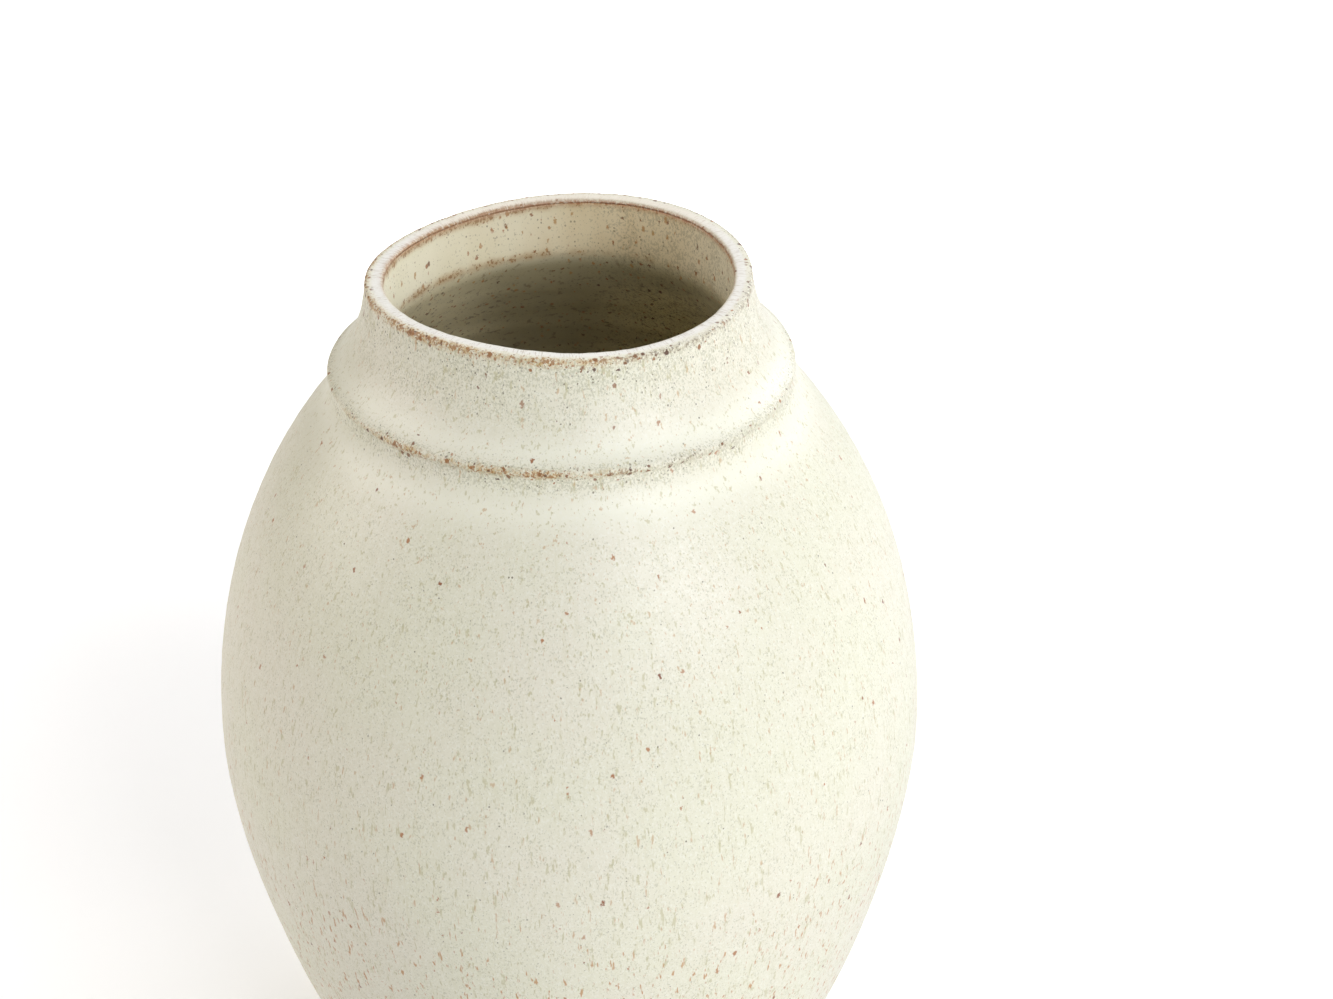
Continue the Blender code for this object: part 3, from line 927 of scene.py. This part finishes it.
def make_liner(material):
    profile = skin(inside()[::-1].copy(), LINER)
    profile[0, 0] = profile[-1, 0] = 0.0
    piece = turn("liner_glaze_fine", profile, INNER_TURN_STEPS, inner_relief, closed=False)
    depth = depth_below_rim(piece)
    per_vertex(piece, "deep", smooth_step(depth, BORE_DEPTH - 1 * MM, BORE_DEPTH + 7 * MM))
    # below_bore: the band just under the bore where the liner gets painted shadow
    per_vertex(piece, "below_bore", bump_at(depth, BORE_DEPTH + 9 * MM, width=5 * MM))
    lower_edge = bump_at(depth, BORE_DEPTH + 1 * MM, width=1.6 * MM)
    upper_edge = bump_at(depth, LIP_ROUNDING + 0.3 * MM, width=1.5 * MM)
    per_vertex(piece, "bore_break", 0.7 * lower_edge + upper_edge)
    per_vertex(piece, "inner_line", bump_at(depth, LIP_ROUNDING, width=0.6 * MM))
    finish_piece(piece, material, "liner_glaze")


GROOVE_SPACING = 3.4 * MM
GROOVE_DEPTH = 0.12 * MM


def foot_relief(places):
    """Grooves of the turning tool in the recess, and sandy clay."""
    radius = np.hypot(places[..., 0], places[..., 1])
    angles = np.arange(places.shape[1]) * 2 * math.pi / places.shape[1]
    height = places[..., 2]
    grooves = np.cos(2 * math.pi * radius / GROOVE_SPACING + angles) * GROOVE_DEPTH
    near_axis = smooth_step(radius, 4 * MM, 12 * MM)
    inner_edge = FOOT_RADIUS - FOOT_WIDTH
    in_recess = ((1 - smooth_step(radius, inner_edge - 4 * MM, inner_edge - 2 * MM))
                 * (height < 6 * MM))
    sand = noise_grid(places, size=3 * MM, seed=6) * 0.04 * MM
    above_ground = smooth_step(height, 0, 0.5 * MM)
    return grooves * near_axis * in_recess + sand * above_ground


def make_body(material):
    """The clay body. Only its foot and the recess under it show."""
    outer = offset(outside()[0], GLAZE + CLAY_GAP)
    outer = outer[outer[:, 1] < CLAY_TOP]
    bare = outer[outer[:, 1] < BARE_TOP]
    hidden = outer[outer[:, 1] >= BARE_TOP][::HIDDEN_CLAY_EVERY]
    inner = offset(inside(), -(LINER + CLAY_GAP))
    inner = inner[inner[:, 1] < CLAY_TOP][::-HIDDEN_LINING_EVERY].copy()
    inner[0, 0] = 0.0
    profile = np.concatenate([inner, hidden, bare, foot(bare[-1])])
    piece = turn("thrown_body_fine", profile, INNER_TURN_STEPS, foot_relief, closed=False)
    finish_piece(piece, material, "thrown_body")


# Stage, light and camera

FLOOR_SIZE = 12.0
FLOOR_SHADE = 0.93
FLOOR_ROUGHNESS = 0.9
FLOOR_GRAIN = 0.4
FLOOR_LIFT = 0.20               # how strongly the floor glows for the camera beside the vase
FLOOR_FADE = (0.15, 1.3)        # how far out the floor starts and ends turning pure white
WORLD_FILL = 0.02
SOFTBOX_SIZE = 1.0
SOFTBOX_DISTANCE = 1.5
SOFTBOX_AIM = Vector((0, 0, 0.6 * RIM_HEIGHT))
# Name, degrees round to the right from the front, degrees up, power in watts, tint
SOFTBOXES = (
    ("front_right_softbox", 40, 30, 18.3, (0.98, 0.985, 1.0)),
    ("left_softbox", -94, 25, 12.7, (1.0, 0.94, 0.875)),
    ("back_right_softbox", 135, 30, 10.8, (0.95, 0.96, 1.0)),
    ("right_softbox", 100, 50, 2.4, (0.93, 0.95, 1.0)),
    ("back_softbox", 180, 40, 5.6, (1.0, 1.0, 1.0)),
)
CAMERA_SENSOR = 36.0
CAMERA_LENS = 64.8
CAMERA_RIGHT = 33 * MM
CAMERA_BACK = 677.2 * MM
CAMERA_HEIGHT = 651.6 * MM
CAMERA_TILT = 31.35             # degrees below level


def make_floor():
    """White studio paper. It fades to pure white away from the vase, as a lit cove does."""
    bpy.ops.mesh.primitive_plane_add(size=FLOOR_SIZE, location=(0, 0, 0))
    floor = bpy.context.object
    floor.name = "studio_floor"
    nodes = Nodes("studio_white")
    place = nodes.place()
    clouds = nodes.noise(place, FLOOR_GRAIN, 2)
    grain = nodes.ramp(clouds, 0.3, 0.7, FLOOR_SHADE * 0.99, FLOOR_SHADE)
    grey = nodes.node("ShaderNodeCombineColor", {0: grain, 1: grain, 2: grain}).outputs[0]
    reach = nodes.node("ShaderNodeVectorMath", {0: place}, operation='LENGTH').outputs["Value"]
    seen = nodes.node("ShaderNodeLightPath", {}).outputs["Is Camera Ray"]
    lift = nodes.times(seen, nodes.ramp(reach, *FLOOR_FADE, FLOOR_LIFT, 1.0))
    floor.data.materials.append(nodes.finish(Base_Color=grey, Roughness=FLOOR_ROUGHNESS,
                                             Emission_Color=colour(1.0, 1.0, 1.0),
                                             Emission_Strength=lift))


def make_world():
    """White where the camera sees it, and a weak even fill for the rest."""
    world = bpy.data.worlds.new("studio")
    bpy.context.scene.world = world
    world.use_nodes = True
    tree = world.node_tree
    background = tree.nodes["Background"]
    background.inputs["Color"].default_value = colour(1.0, 1.0, 1.0)
    path = tree.nodes.new("ShaderNodeLightPath")
    strength = tree.nodes.new("ShaderNodeMapRange")
    strength.inputs["To Min"].default_value = WORLD_FILL
    strength.inputs["To Max"].default_value = 1.0
    tree.links.new(path.outputs["Is Camera Ray"], strength.inputs["Value"])
    tree.links.new(strength.outputs[0], background.inputs["Strength"])


def make_softbox(name, azimuth, elevation, power, tint):
    """A square soft light that faces the vase."""
    light = bpy.data.lights.new(name, 'AREA')
    light.size = SOFTBOX_SIZE
    light.energy = power
    light.color = tint
    lamp = bpy.data.objects.new(name, light)
    bpy.context.scene.collection.objects.link(lamp)
    turned, up = math.radians(azimuth), math.radians(elevation)
    away = Vector((math.sin(turned) * math.cos(up), -math.cos(turned) * math.cos(up),
                   math.sin(up)))
    lamp.location = SOFTBOX_AIM + away * SOFTBOX_DISTANCE
    lamp.rotation_euler = away.to_track_quat('Z', 'Y').to_euler()


def make_camera():
    """Looks at the collar from in front and above."""
    data = bpy.data.cameras.new("camera")
    data.sensor_width = CAMERA_SENSOR
    data.lens = CAMERA_LENS
    camera = bpy.data.objects.new("camera", data)
    bpy.context.scene.collection.objects.link(camera)
    camera.location = (CAMERA_RIGHT, -CAMERA_BACK, CAMERA_HEIGHT)
    camera.rotation_euler = (math.radians(90 - CAMERA_TILT), 0, 0)
    bpy.context.scene.camera = camera


make_outer_glaze(outer_glaze_material())
make_liner(liner_material())
clay = clay_material("speckled_stoneware", *STONEWARE)
make_body(clay)
recolour("neck_collar", clay)
recolour("joining_slip", clay_material("fired_slip", *FIRED_SLIP))

make_floor()
make_world()
for softbox in SOFTBOXES:
    make_softbox(*softbox)
make_camera()
bpy.context.scene.view_settings.view_transform = 'Standard'
